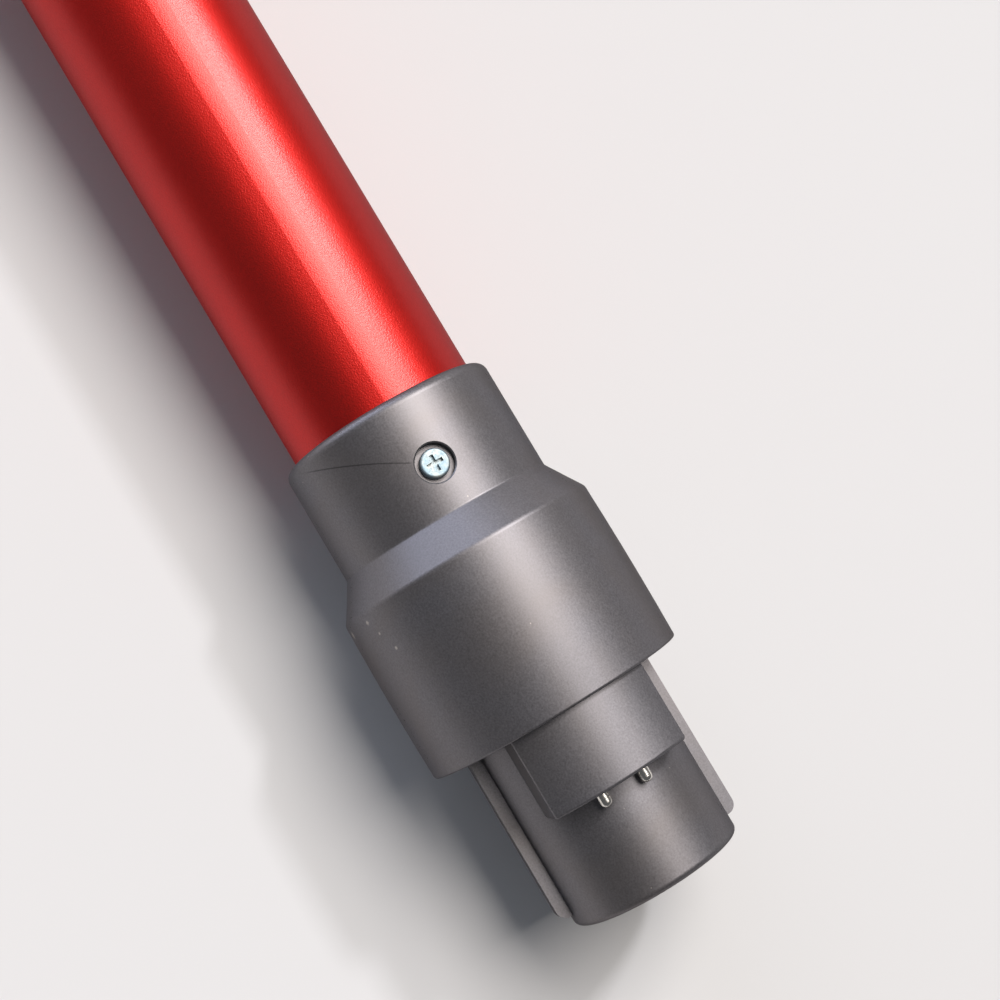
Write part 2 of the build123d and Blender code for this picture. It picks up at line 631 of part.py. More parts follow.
# Lower collar: the tool end's moulding, with the button's window, pivot cheeks and guard rails
SPRING_FLOOR = NECK_R - SPRING_POCKET
with BuildPart() as lower_collar:
    revolve(collar_wall(lower, LOWER_SKIRT, SOCKET_SEAT), axis=WAND_AXIS)
    screw_seat(LOWER_SCREW_X)
    hole_edge = lower_collar.edges().filter_by_position(Axis.Z, crown - HEAD_RECESS / 2, crown + HEAD_RECESS)
    chamfer(hole_edge, HEAD_HOLE_EDGE)
    # Window in the flare for the button's riser
    window_start = PIVOT_STATION + WINDOW_SETBACK
    window_end = LOWER_TUBE_END - END_WEB - WINDOW_END_GAP
    with BuildSketch(across(lower(window_start))):
        with Locations((0, -NECK_BORE_R)):
            Rectangle(2 * SLOT_HALF, SKIRT_R, align=(Align.CENTER, Align.MAX))
    extrude(amount=window_end - window_start, mode=Mode.SUBTRACT)
    # Pivot cheeks inside the skirt
    cheek_middle = SLOT_HALF + CHEEK_THICK / 2
    cheek_height = LEDGE_R + CHEEK_ROOT - PIVOT_DROP + HUB_R
    with BuildSketch(across(lower(PIVOT_STATION - CHEEK_LENGTH / 2))):
        for y in (-cheek_middle, cheek_middle):
            with Locations((y, -PIVOT_DROP + HUB_R)):
                Rectangle(CHEEK_THICK, cheek_height, align=(Align.CENTER, Align.MAX))
    extrude(amount=CHEEK_LENGTH)
    with BuildSketch(SIDE):
        with Locations((lower(PIVOT_STATION), -PIVOT_DROP)):
            Circle(PIVOT_D / 2 + PIVOT_FIT)
    extrude(amount=SLOT_HALF + CHEEK_THICK, both=True, mode=Mode.SUBTRACT)
    # Guard rails beside the finger pad
    rail_middle = PAD_WIDTH / 2 + RAIL_GAP + RAIL_THICK / 2
    rail_start = LOWER_SKIRT + FLARE_LENGTH / 2
    rail_length = LOWER_END - RAIL_END - rail_start
    for y in (-rail_middle, rail_middle):
        with BuildSketch(Plane(origin=(0, y, AXIS_Z), x_dir=(1, 0, 0), z_dir=(0, -1, 0))) as rail:
            with Locations((lower(rail_start), -NECK_R - RAIL_HEIGHT)):
                Rectangle(rail_length, RAIL_HEIGHT + FLARE_WALL, align=(Align.MIN, Align.MIN))
            fillet(rail.vertices().group_by(Axis.Y)[0], RAIL_HEIGHT)
        extrude(amount=RAIL_THICK / 2, both=True)
    # Pocket for the spring's upper end
    with BuildSketch(Plane(origin=(lower(SPRING_STATION), 0, AXIS_Z - SPRING_FLOOR))):
        Circle(SPRING_D / 2 + SPRING_POCKET_GAP)
    extrude(amount=-PAD_LIFT, mode=Mode.SUBTRACT)
lower_collar.part.label = "lower_collar"
export_step(lower_collar.part, "parts/lower_collar.step")

# Release button: catch arm, hub, riser and finger pad in one moulding
ARM_INNER = SOCKET_R + ARM_GAP
CATCH_FACE = SPIGOT_REACH - LUG_SETBACK - LUG_LENGTH - CATCH_LUG_GAP
with BuildPart() as release_button:
    pad_middle = lower(PAD_START + PAD_LENGTH / 2)
    with BuildSketch(Plane(origin=(pad_middle, 0, AXIS_Z - PAD_DROP - PAD_THICK))):
        RectangleRounded(PAD_LENGTH, PAD_WIDTH, PAD_CORNER)
    extrude(amount=PAD_THICK)
    fillet(release_button.edges().group_by(Axis.Z)[0], PAD_EDGE)
    with BuildSketch(Plane(origin=(pad_middle, 0, AXIS_Z - PAD_DROP - PAD_THICK))):
        with GridLocations(GRIP_PITCH, 0, GRIP_GROOVES, 1):
            SlotOverall(PAD_WIDTH - 2 * GRIP_WIDTH, GRIP_WIDTH, rotation=90)
    extrude(amount=GRIP_DEPTH, mode=Mode.SUBTRACT)
    with BuildSketch(Plane(origin=(lower(SPRING_STATION), 0, AXIS_Z - PAD_DROP))):
        Circle(SPRING_D / 2 - SPRING_WIRE - SPRING_BOSS_GAP)
    extrude(amount=SPRING_BOSS_HEIGHT)
    with BuildSketch(SIDE):
        with BuildLine():
            Polyline(
                (lower(CATCH_FACE - CATCH_LENGTH), -ARM_INNER),
                (lower(CATCH_FACE - CATCH_LENGTH + CATCH_RAMP), -MOUTH_R - CATCH_GAP),
                (lower(CATCH_FACE), -MOUTH_R - CATCH_GAP),
                (lower(CATCH_FACE), -ARM_INNER),
                (lower(PIVOT_STATION), -ARM_INNER),
                (lower(PIVOT_STATION), -ARM_INNER - ARM_THICK),
                (lower(CATCH_FACE - CATCH_LENGTH), -ARM_INNER - ARM_THICK),
                close=True,
            )
        make_face()
        with Locations((lower(PIVOT_STATION), -PIVOT_DROP)):
            Circle(HUB_R)
        riser_run = PAD_START + PAD_THICK - PIVOT_STATION
        riser_drop = PAD_DROP + PAD_THICK / 2 - PIVOT_DROP
        with Locations((lower(PIVOT_STATION + riser_run / 2), -PIVOT_DROP - riser_drop / 2)):
            SlotCenterToCenter(
                hypot(riser_run, riser_drop),
                PAD_THICK,
                rotation=-degrees(atan2(riser_drop, riser_run)),
            )
        with Locations((lower(PIVOT_STATION), -PIVOT_DROP)):
            Circle(PIVOT_D / 2 + PIVOT_FIT, mode=Mode.SUBTRACT)
    extrude(amount=SPINE_WIDTH / 2, both=True)
release_button.part.label = "release_button"
export_step(release_button.part, "parts/release_button.step")

# Button pin: the rocker's pivot, held by the two cheeks
with BuildPart() as button_pin:
    with BuildSketch(SIDE):
        with Locations((lower(PIVOT_STATION), -PIVOT_DROP)):
            Circle(PIVOT_D / 2)
    extrude(amount=SLOT_HALF + CHEEK_THICK - PIN_RECESS, both=True)
button_pin.part.label = "button_pin"
export_step(button_pin.part, "parts/button_pin.step")

# Button spring: short coil between the neck's pocket and the pad
with BuildPart() as button_spring:
    coil_inset = SPRING_SEAT_GAP + SPRING_WIRE / 2
    coil_height = PAD_DROP - SPRING_FLOOR - 2 * coil_inset
    with BuildLine() as coil:
        Helix(
            coil_height / SPRING_TURNS,
            coil_height,
            (SPRING_D - SPRING_WIRE) / 2,
            center=(lower(SPRING_STATION), 0, AXIS_Z - SPRING_FLOOR - coil_inset),
            direction=(0, 0, -1),
        )
    with BuildSketch(Plane(origin=coil.line @ 0, z_dir=coil.line % 0)):
        Circle(SPRING_WIRE / 2)
    sweep(is_frenet=True)
button_spring.part.label = "button_spring"
export_step(button_spring.part, "parts/button_spring.step")

# Cable duct: channel along the top of the tube's bore, between the two sleeves
with BuildPart() as cable_duct:
    duct_start = lower(LOWER_SLEEVE_END + DUCT_END_GAP)
    with BuildSketch(across(duct_start)):
        Circle(TUBE_BORE_R - DUCT_GAP)
        with Locations((0, SPIGOT_R - GROOVE_DEPTH - DUCT_WALL)):
            Rectangle(
                GROOVE_WIDTH + 2 * DUCT_WALL,
                TUBE_R,
                align=(Align.CENTER, Align.MIN),
                mode=Mode.INTERSECT,
            )
        with BuildSketch(across(duct_start), mode=Mode.SUBTRACT):
            Circle(TUBE_BORE_R - DUCT_GAP - DUCT_WALL)
            with Locations((0, SPIGOT_R - GROOVE_DEPTH)):
                Rectangle(
                    GROOVE_WIDTH,
                    TUBE_R,
                    align=(Align.CENTER, Align.MIN),
                    mode=Mode.INTERSECT,
                )
    extrude(amount=upper(UPPER_SLEEVE_END + DUCT_END_GAP) - duct_start)
cable_duct.part.label = "cable_duct"
export_step(cable_duct.part, "parts/cable_duct.step")

# Wires: insulated leads from the pins through the duct to the socket contacts
upper_dip = FLANGE_SEAT + UPPER_DIP_SETBACK
lower_dip_end = LOWER_TUBE_END - END_WEB - LOWER_DIP_END_GAP
for side, y in SIDES:
    with BuildPart() as wire:
        with BuildLine() as lead:
            FilletPolyline(
                (PIN_BACK, y, AXIS_Z + PIN_Z),
                (upper(upper_dip), y, AXIS_Z + PIN_Z),
                (upper(upper_dip + UPPER_DIP_RUN), y, AXIS_Z + WIRE_GROOVE_Z),
                (lower(lower_dip_end), y, AXIS_Z + WIRE_GROOVE_Z),
                (lower(SOCKET_SEAT + LOWER_DIP_SETBACK), y, AXIS_Z + WIRE_OVER_Z),
                (lower(CONTACT_END - WIRE_LAP), y, AXIS_Z + WIRE_OVER_Z),
                radius=WIRE_BEND,
            )
        with BuildSketch(Plane(origin=lead.line @ 0, z_dir=lead.line % 0)):
            Circle(WIRE_R)
        sweep()
    wire.part.label = f"wire_{side}"
    export_step(wire.part, f"parts/wire_{side}.step")
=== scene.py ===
import math

import bpy
from mathutils import Matrix, Vector


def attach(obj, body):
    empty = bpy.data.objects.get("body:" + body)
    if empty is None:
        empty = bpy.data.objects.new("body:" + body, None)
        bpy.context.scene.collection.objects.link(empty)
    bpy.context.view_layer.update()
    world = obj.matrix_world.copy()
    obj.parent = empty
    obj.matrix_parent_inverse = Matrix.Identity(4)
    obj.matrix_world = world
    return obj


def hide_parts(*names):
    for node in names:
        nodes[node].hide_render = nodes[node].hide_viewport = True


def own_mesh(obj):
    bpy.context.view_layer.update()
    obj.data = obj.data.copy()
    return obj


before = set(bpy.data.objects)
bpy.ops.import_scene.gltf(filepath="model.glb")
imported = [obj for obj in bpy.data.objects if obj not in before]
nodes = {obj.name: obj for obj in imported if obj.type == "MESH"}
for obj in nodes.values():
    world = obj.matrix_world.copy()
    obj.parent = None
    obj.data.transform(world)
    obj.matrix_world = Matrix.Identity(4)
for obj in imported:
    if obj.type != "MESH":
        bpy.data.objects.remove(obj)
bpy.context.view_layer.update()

scene = bpy.context.scene
scene.view_settings.view_transform = "Standard"

# Main tube. Drawn aluminium tube of 38 mm, blasted to a fine satin and dyed red in the
# anodising bath. Each end is pushed into a collar and held there by one screw.


def paint(hex_colour):
    """Linear RGBA of an sRGB hex colour."""
    channels = [int(hex_colour[i : i + 2], 16) / 255 for i in (1, 3, 5)]
    linear = [c / 12.92 if c <= 0.04045 else ((c + 0.055) / 1.055) ** 2.4 for c in channels]
    return (*linear, 1.0)


def add_node(tree, kind, settings=None, inputs=None, links=None):
    """Adds one node, sets its properties and sockets, and links other nodes' outputs to it."""
    node = tree.nodes.new(kind)
    for name, value in (settings or {}).items():
        setattr(node, name, value)
    for name, value in (inputs or {}).items():
        node.inputs[name].default_value = value
    for name, output in (links or {}).items():
        tree.links.new(output, node.inputs[name])
    return node


def new_material(name):
    """Empty node material with its output node."""
    material = bpy.data.materials.new(name)
    material.use_nodes = True
    tree = material.node_tree
    tree.nodes.clear()
    return material, tree, add_node(tree, "ShaderNodeOutputMaterial")


def dress(material, *names):
    """Gives CAD nodes a material."""
    for name in names:
        nodes[name].data.materials.clear()
        nodes[name].data.materials.append(material)


MM = 0.001
GRAIN_MM = 0.30  # blasted grain, drawn a little coarse so that it shows
GRAIN_DEPTH_MM = 0.050
CLOUD_MM = 14.0  # slow drift of the dye

# Red anodised aluminium: a tinted metal under a clear oxide skin, which adds a paler sheen over
# the red. The skin's IOR is above the oxide's own, matched to how pale the photo's sheen is.
red_anodised, tree, output = new_material("red_anodised_aluminium")
place = add_node(tree, "ShaderNodeTexCoord").outputs["Object"]
grain = add_node(
    tree, "ShaderNodeTexNoise",
    inputs={"Scale": 1 / (GRAIN_MM * MM), "Detail": 2.0, "Roughness": 0.6},
    links={"Vector": place},
)
cloud = add_node(
    tree, "ShaderNodeTexNoise",
    inputs={"Scale": 1 / (CLOUD_MM * MM), "Detail": 3.0},
    links={"Vector": place},
)
dye = add_node(
    tree, "ShaderNodeMix",
    settings={"data_type": "RGBA"},
    inputs={"A": paint("#c6160c"), "B": paint("#d21c11")},
    links={"Factor": cloud.outputs["Fac"]},
)
grain_shade = add_node(
    tree, "ShaderNodeMapRange",
    inputs={"From Min": 0.3, "From Max": 0.7, "To Min": 0.0, "To Max": 0.22},
    links={"Value": grain.outputs["Fac"]},
)
dye_grain = add_node(
    tree, "ShaderNodeMix",
    settings={"data_type": "RGBA"},
    inputs={"B": paint("#a00603")},
    links={"Factor": grain_shade.outputs["Result"], "A": dye.outputs["Result"]},
)
grain_rough = add_node(
    tree, "ShaderNodeMapRange",
    inputs={"From Min": 0.3, "From Max": 0.7, "To Min": 0.42, "To Max": 0.54},
    links={"Value": grain.outputs["Fac"]},
)
grain_bump = add_node(
    tree, "ShaderNodeBump",
    inputs={"Strength": 0.9, "Distance": GRAIN_DEPTH_MM * MM},
    links={"Height": grain.outputs["Fac"]},
)
surface = add_node(
    tree, "ShaderNodeBsdfPrincipled",
    inputs={
        "Metallic": 1.0,
        "Specular Tint": paint("#2c0404"),
        "Coat Weight": 0.22,
        "Coat Roughness": 0.30,
        "Coat IOR": 2.40,
    },
    links={
        "Base Color": dye_grain.outputs["Result"],
        "Roughness": grain_rough.outputs["Result"],
        "Normal": grain_bump.outputs["Normal"],
        "Coat Normal": grain_bump.outputs["Normal"],
    },
)
tree.links.new(surface.outputs["BSDF"], output.inputs["Surface"])
dress(red_anodised, "main_tube")

# Collars, spigot and contact box. Injection-moulded ABS, iron grey with fine metal flake in the
# melt, left as moulded. The machine end's collar has a flow line beside its screw hole, a few
# pale nicks on the skirt and some dust.
AXIS_Z_MM = 26.65  # the wand's axis above the floor
FLAKE_MM = 0.35  # flake clusters, drawn coarser than real flake so that they show
FLAKE_DEPTH_MM = 0.02
SWIRL_MM = 22.0  # slow drift of tone where the melt flowed
DUST_MM = 7.0  # spacing of the dust specks
DUST_CORE, DUST_RIM = 0.010, 0.024  # a speck's radius and its soft rim, as shares of the spacing
# The flow line's place along the wand is a curve of the angle from the top, in radians.
FLOW_START_MM, FLOW_SLOPE_MM, FLOW_BEND_MM = 278.6, 15.0, 3.9
FLOW_CORE_MM, FLOW_RIM_MM = 0.05, 0.22  # half its width, and with its soft rim
HOLE_EDGE, HOLE_FADE = -0.165, 0.03  # where it comes up beside the screw hole
FLOW_END, FLOW_FADE = -1.25, 0.35  # where it has died out
NICKS_MM = (  # x, y, z and radius
    (296.7, -26.5, 28.9, 1.3),
    (296.4, -24.1, 38.1, 0.8),
    (303.0, -22.2, 41.4, 0.6),
    (299.2, -23.3, 39.6, 0.5),
)
NICK_CORE, NICK_RIM = 0.6, 1.3  # shares of a nick's radius

# Flake-filled ABS: a satin grey plastic whose flake throws back light as a dull metal does.
flake_abs, tree, output = new_material("iron_grey_flake_abs")
place = add_node(tree, "ShaderNodeTexCoord").outputs["Object"]
flake = add_node(
    tree, "ShaderNodeTexNoise",
    inputs={"Scale": 1 / (FLAKE_MM * MM), "Detail": 2.0, "Roughness": 0.65},
    links={"Vector": place},
)
swirl = add_node(
    tree, "ShaderNodeTexNoise",
    inputs={"Scale": 1 / (SWIRL_MM * MM), "Detail": 3.0, "Distortion": 0.6},
    links={"Vector": place},
)
flake_tint = add_node(
    tree, "ShaderNodeMapRange",
    inputs={"From Min": 0.25, "From Max": 0.75, "To Min": 0.0, "To Max": 1.0},
    links={"Value": flake.outputs["Fac"]},
)
melt = add_node(
    tree, "ShaderNodeMix",
    settings={"data_type": "RGBA"},
    inputs={"A": paint("#6e6d70"), "B": paint("#8a888c")},
    links={"Factor": flake_tint.outputs["Result"]},
)
swirl_share = add_node(
    tree, "ShaderNodeMapRange",
    inputs={"From Min": 0.35, "From Max": 0.70, "To Min": 0.0, "To Max": 0.35},
    links={"Value": swirl.outputs["Fac"]},
)
drift = add_node(
    tree, "ShaderNodeMix",
    settings={"data_type": "RGBA"},
    inputs={"B": paint("#7d756f")},
    links={"Factor": swirl_share.outputs["Result"], "A": melt.outputs["Result"]},
)
from_axis = add_node(
    tree, "ShaderNodeMapping",
    inputs={"Location": (0.0, 0.0, -AXIS_Z_MM * MM)},
    links={"Vector": place},
)
axes = add_node(tree, "ShaderNodeSeparateXYZ", links={"Vector": from_axis.outputs["Vector"]})
angle = add_node(
    tree, "ShaderNodeMath",
    settings={"operation": "ARCTAN2"},
    links={0: axes.outputs["Y"], 1: axes.outputs["Z"]},
)
flow_rate = add_node(
    tree, "ShaderNodeMath",
    settings={"operation": "MULTIPLY_ADD"},
    inputs={1: FLOW_BEND_MM * MM, 2: FLOW_SLOPE_MM * MM},
    links={0: angle.outputs["Value"]},
)
flow_place = add_node(
    tree, "ShaderNodeMath",
    settings={"operation": "MULTIPLY_ADD"},
    inputs={2: FLOW_START_MM * MM},
    links={0: angle.outputs["Value"], 1: flow_rate.outputs["Value"]},
)
flow_miss = add_node(
    tree, "ShaderNodeMath",
    settings={"operation": "SUBTRACT"},
    links={0: axes.outputs["X"], 1: flow_place.outputs["Value"]},
)
flow_gap = add_node(
    tree, "ShaderNodeMath",
    settings={"operation": "ABSOLUTE"},
    links={0: flow_miss.outputs["Value"]},
)
flow_near = add_node(
    tree, "ShaderNodeMapRange",
    settings={"interpolation_type": "SMOOTHSTEP"},
    inputs={
        "From Min": FLOW_CORE_MM * MM,
        "From Max": FLOW_RIM_MM * MM,
        "To Min": 0.5,
        "To Max": 0.0,
    },
    links={"Value": flow_gap.outputs["Value"]},
)
flow_side = add_node(
    tree, "ShaderNodeMapRange",
    settings={"interpolation_type": "SMOOTHSTEP"},
    inputs={"From Min": HOLE_EDGE, "From Max": HOLE_EDGE - HOLE_FADE, "To Min": 0.0, "To Max": 1.0},
    links={"Value": angle.outputs["Value"]},
)
flow_fade = add_node(
    tree, "ShaderNodeMapRange",
    settings={"interpolation_type": "SMOOTHSTEP"},
    inputs={"From Min": FLOW_END, "From Max": FLOW_END + FLOW_FADE, "To Min": 0.0, "To Max": 1.0},
    links={"Value": angle.outputs["Value"]},
)
flow_span = add_node(
    tree, "ShaderNodeMath",
    settings={"operation": "MULTIPLY"},
    links={0: flow_side.outputs["Result"], 1: flow_fade.outputs["Result"]},
)
flow_line = add_node(
    tree, "ShaderNodeMath",
    settings={"operation": "MULTIPLY"},
    links={0: flow_near.outputs["Result"], 1: flow_span.outputs["Value"]},
)
lined = add_node(
    tree, "ShaderNodeMix",
    settings={"data_type": "RGBA"},
    inputs={"B": paint("#2c2b2b")},
    links={"Factor": flow_line.outputs["Value"], "A": drift.outputs["Result"]},
)
dust = add_node(
    tree, "ShaderNodeTexVoronoi",
    inputs={"Scale": 1 / (DUST_MM * MM)},
    links={"Vector": place},
)
pale_marks = add_node(
    tree, "ShaderNodeMapRange",
    settings={"interpolation_type": "SMOOTHSTEP"},
    inputs={"From Min": DUST_CORE, "From Max": DUST_RIM, "To Min": 0.55, "To Max": 0.0},
    links={"Value": dust.outputs["Distance"]},
).outputs["Result"]
for x_mm, y_mm, z_mm, radius_mm in NICKS_MM:
    reach = add_node(
        tree, "ShaderNodeVectorMath",
        settings={"operation": "DISTANCE"},
        inputs={1: (x_mm * MM, y_mm * MM, z_mm * MM)},
        links={0: place},
    )
    ragged = add_node(
        tree, "ShaderNodeMath",
        settings={"operation": "MULTIPLY_ADD"},
        inputs={1: radius_mm * MM},
        links={0: flake.outputs["Fac"], 2: reach.outputs["Value"]},
    )
    nick = add_node(
        tree, "ShaderNodeMapRange",
        settings={"interpolation_type": "SMOOTHSTEP"},
        inputs={
            "From Min": NICK_CORE * radius_mm * MM,
            "From Max": NICK_RIM * radius_mm * MM,
            "To Min": 0.7,
            "To Max": 0.0,
        },
        links={"Value": ragged.outputs["Value"]},
    )
    pale_marks = add_node(
        tree, "ShaderNodeMath",
        settings={"operation": "MAXIMUM"},
        links={0: pale_marks, 1: nick.outputs["Result"]},
    ).outputs["Value"]
marked = add_node(
    tree, "ShaderNodeMix",
    settings={"data_type": "RGBA"},
    inputs={"B": paint("#d7d0c7")},
    links={"Factor": pale_marks, "A": lined.outputs["Result"]},
)
flake_rough = add_node(
    tree, "ShaderNodeMapRange",
    inputs={"From Min": 0.25, "From Max": 0.75, "To Min": 0.44, "To Max": 0.52},
    links={"Value": flake.outputs["Fac"]},
)
flake_bump = add_node(
    tree, "ShaderNodeBump",
    inputs={"Strength": 0.075, "Distance": FLAKE_DEPTH_MM * MM},
    links={"Height": flake.outputs["Fac"]},
)
surface = add_node(
    tree, "ShaderNodeBsdfPrincipled",
    inputs={"Metallic": 0.9, "IOR": 1.52, "Specular Tint": paint("#6c6c6c")},
    links={
        "Base Color": marked.outputs["Result"],
        "Roughness": flake_rough.outputs["Result"],
        "Normal": flake_bump.outputs["Normal"],
    },
)
tree.links.new(surface.outputs["BSDF"], output.inputs["Surface"])
dress(flake_abs, "upper_collar", "lower_collar", "spigot", "contact_housing")

# Socket and release button. Moulded in plain dark grey ABS without flake: the socket is a liner
# pressed into the lower collar, the button a rocker with a spark-eroded finger pad.
SPARK_MM = 0.4  # spark-eroded texture of the tool
SPARK_DEPTH_MM = 0.03
GLOSS_MM = 18.0  # slow change of gloss over the moulding

# Dark grey ABS: a plain plastic, satin where the tool was textured.
grey_abs, tree, output = new_material("dark_grey_abs")
place = add_node(tree, "ShaderNodeTexCoord").outputs["Object"]
spark = add_node(
    tree, "ShaderNodeTexNoise",
    inputs={"Scale": 1 / (SPARK_MM * MM), "Detail": 3.0},
    links={"Vector": place},
)
gloss = add_node(
    tree, "ShaderNodeTexNoise",
    inputs={"Scale": 1 / (GLOSS_MM * MM), "Detail": 2.0},
    links={"Vector": place},
)
tone = add_node(
    tree, "ShaderNodeMix",
    settings={"data_type": "RGBA"},
    inputs={"A": paint("#3a3a3b"), "B": paint("#454546")},
    links={"Factor": spark.outputs["Fac"]},
)
gloss_rough = add_node(
    tree, "ShaderNodeMapRange",
    inputs={"From Min": 0.3, "From Max": 0.7, "To Min": 0.42, "To Max": 0.55},
    links={"Value": gloss.outputs["Fac"]},
)
spark_bump = add_node(
    tree, "ShaderNodeBump",
    inputs={"Strength": 0.25, "Distance": SPARK_DEPTH_MM * MM},
    links={"Height": spark.outputs["Fac"]},
)
surface = add_node(
    tree, "ShaderNodeBsdfPrincipled",
    inputs={"IOR": 1.52},
    links={
        "Base Color": tone.outputs["Result"],
        "Roughness": gloss_rough.outputs["Result"],
        "Normal": spark_bump.outputs["Normal"],
    },
)
tree.links.new(surface.outputs["BSDF"], output.inputs["Surface"])
dress(grey_abs, "socket", "release_button")

# Contact carrier and socket contact block. Small insulating blocks moulded in black PBT with
# glass fibre, pushed into the box and into the socket's key slot.
FIBRE_MM = 0.5  # fibre ends at the surface, drawn coarse so that they show
FIBRE_RATIO = 0.25  # their width over their length

# Black glass-filled PBT: near black and dull, with short paler fibre ends.
black_pbt, tree, output = new_material("black_glass_filled_pbt")
place = add_node(tree, "ShaderNodeTexCoord").outputs["Object"]
along = add_node(
    tree, "ShaderNodeMapping",
    inputs={"Scale": (FIBRE_RATIO, 1.0, 1.0)},
    links={"Vector": place},
)
fibre = add_node(
    tree, "ShaderNodeTexNoise",
    inputs={"Scale": 1 / (FIBRE_MM * MM), "Detail": 2.0},
    links={"Vector": along.outputs["Vector"]},
)
fibre_share = add_node(
    tree, "ShaderNodeMapRange",
    inputs={"From Min": 0.5, "From Max": 0.8, "To Min": 0.0, "To Max": 1.0},
    links={"Value": fibre.outputs["Fac"]},
)
tone = add_node(
    tree, "ShaderNodeMix",
    settings={"data_type": "RGBA"},
    inputs={"A": paint("#161617"), "B": paint("#2b2b2c")},
    links={"Factor": fibre_share.outputs["Result"]},
)
fibre_rough = add_node(
    tree, "ShaderNodeMapRange",
    inputs={"From Min": 0.3, "From Max": 0.7, "To Min": 0.5, "To Max": 0.65},
    links={"Value": fibre.outputs["Fac"]},
)
surface = add_node(
    tree, "ShaderNodeBsdfPrincipled",
    inputs={"IOR": 1.55},
    links={"Base Color": tone.outputs["Result"], "Roughness": fibre_rough.outputs["Result"]},
)
tree.links.new(surface.outputs["BSDF"], output.inputs["Surface"])
dress(black_pbt, "contact_carrier", "socket_contact_block")

# Contact pins. Turned from brass rod with a round nose and plated with bright nickel, pressed
# into the carrier.
TURNING_MM = 0.12  # feed of the turning tool, seen as fine rings
TURNING_DEPTH_MM = 0.004
WAVE_BAND = math.tau / 20  # width of one band of the wave node at scale 1
RUB_MM = 0.9  # dull patches where the tool's contacts rub

# Bright nickel plate: a slightly warm mirror, dulled by rubbing.
nickel, tree, output = new_material("bright_nickel_plate")
place = add_node(tree, "ShaderNodeTexCoord").outputs["Object"]
rings = add_node(
    tree, "ShaderNodeTexWave",
    settings={"bands_direction": "X"},
    inputs={"Scale": WAVE_BAND / (TURNING_MM * MM), "Distortion": 0.4},
    links={"Vector": place},
)
rub = add_node(
    tree, "ShaderNodeTexNoise",
    inputs={"Scale": 1 / (RUB_MM * MM), "Detail": 3.0},
    links={"Vector": place},
)
tone = add_node(
    tree, "ShaderNodeMix",
    settings={"data_type": "RGBA"},
    inputs={"A": paint("#eeebe5"), "B": paint("#d8d4cc")},
    links={"Factor": rub.outputs["Fac"]},
)
rub_rough = add_node(
    tree, "ShaderNodeMapRange",
    inputs={"From Min": 0.3, "From Max": 0.7, "To Min": 0.18, "To Max": 0.32},
    links={"Value": rub.outputs["Fac"]},
)
ring_bump = add_node(
    tree, "ShaderNodeBump",
    inputs={"Strength": 0.03, "Distance": TURNING_DEPTH_MM * MM},
    links={"Height": rings.outputs["Fac"]},
)
surface = add_node(
    tree, "ShaderNodeBsdfPrincipled",
    inputs={"Metallic": 1.0},
    links={
        "Base Color": tone.outputs["Result"],
        "Roughness": rub_rough.outputs["Result"],
        "Normal": ring_bump.outputs["Normal"],
    },
)
tree.links.new(surface.outputs["BSDF"], output.inputs["Surface"])
dress(nickel, "contact_pin_left", "contact_pin_right")

# Socket contacts. Bent strips stamped from brass sheet, unplated, pushed into the contact block.
# A tool's pins press on them.
ROLLING_MM = 0.15  # width of the sheet's rolling lines
ROLLING_RATIO = 0.05  # their width over their length
TARNISH_MM = 2.5  # patches of brown tarnish

# Rolled brass: a yellow metal with fine lines along the sheet and a little tarnish.
brass, tree, output = new_material("rolled_brass")
place = add_node(tree, "ShaderNodeTexCoord").outputs["Object"]
along = add_node(
    tree, "ShaderNodeMapping",
    inputs={"Scale": (ROLLING_RATIO, 1.0, 1.0)},
    links={"Vector": place},
)
lines = add_node(
    tree, "ShaderNodeTexNoise",
    inputs={"Scale": 1 / (ROLLING_MM * MM), "Detail": 2.0},
    links={"Vector": along.outputs["Vector"]},
)
tarnish = add_node(
    tree, "ShaderNodeTexNoise",
    inputs={"Scale": 1 / (TARNISH_MM * MM), "Detail": 4.0},
    links={"Vector": place},
)
tarnish_share = add_node(
    tree, "ShaderNodeMapRange",
    inputs={"From Min": 0.5, "From Max": 0.75, "To Min": 0.0, "To Max": 0.7},
    links={"Value": tarnish.outputs["Fac"]},
)
tone = add_node(
    tree, "ShaderNodeMix",
    settings={"data_type": "RGBA"},
    inputs={"A": paint("#d9b878"), "B": paint("#9a7a48")},
    links={"Factor": tarnish_share.outputs["Result"]},
)
line_rough = add_node(
    tree, "ShaderNodeMapRange",
    inputs={"From Min": 0.3, "From Max": 0.7, "To Min": 0.22, "To Max": 0.38},
    links={"Value": lines.outputs["Fac"]},
)
surface = add_node(
    tree, "ShaderNodeBsdfPrincipled",
    inputs={"Metallic": 1.0},
    links={"Base Color": tone.outputs["Result"], "Roughness": line_rough.outputs["Result"]},
)
tree.links.new(surface.outputs["BSDF"], output.inputs["Surface"])
dress(brass, "socket_contact_left", "socket_contact_right")

# Screws. Cross-head self-tapping steel screws with blue-passivated zinc plate, one in each
# collar's recess.
PASSIVATION_MM = 1.6  # patches of blue and straw colour in the passivation
PLATE_MM = 0.25  # crystals of the plate, drawn coarse so that they show
PLATE_DEPTH_MM = 0.03

